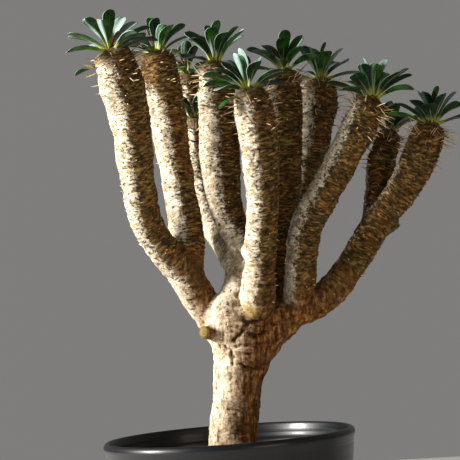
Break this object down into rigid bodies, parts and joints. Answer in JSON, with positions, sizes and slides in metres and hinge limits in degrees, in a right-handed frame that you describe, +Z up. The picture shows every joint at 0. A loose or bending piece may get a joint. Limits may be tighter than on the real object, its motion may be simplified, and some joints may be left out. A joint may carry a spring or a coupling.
{
  "type": "potted euphorbia guillauminiana",
  "caption": "Potted caudex euphorbia: woody trunk forking into thick spiny branches, each topped by a rosette of folded leaves, in a black glazed round pot.",
  "frame": {"origin": "centre of the pot's flat underside", "axes": "+Z up along the pot's axis; the plant's best side faces -Y, and its longest low branch reaches towards +X"},
  "size_m": [0.2851, 0.2136, 0.4541],
  "materials": {
    "black_glaze": "black glaze with a satin gloss",
    "gritty_soil": "dry pumice and baked clay grit, rough",
    "bark": "pale cream to tan bark, rough, with leaf scars and pale spines",
    "leaf": "dark green waxy leaf with a satin bloom and a pale midrib"
  },
  "bodies": {
    "root": {"pot": "black_glaze", "potting_soil": "gritty_soil", "trunk_and_branches": "bark", "leaf_rosette_left_outer": "leaf", "leaf_rosette_left_inner": "leaf", "leaf_rosette_centre_left": "leaf", "leaf_rosette_centre_front": "leaf", "leaf_rosette_centre_right": "leaf", "leaf_rosette_back_right": "leaf", "leaf_rosette_right_front": "leaf", "leaf_rosette_right_short": "leaf", "leaf_rosette_right_outer": "leaf", "leaf_rosette_back_short": "leaf", "leaf_rosette_back_tall": "leaf"}
  },
  "joints": []
}
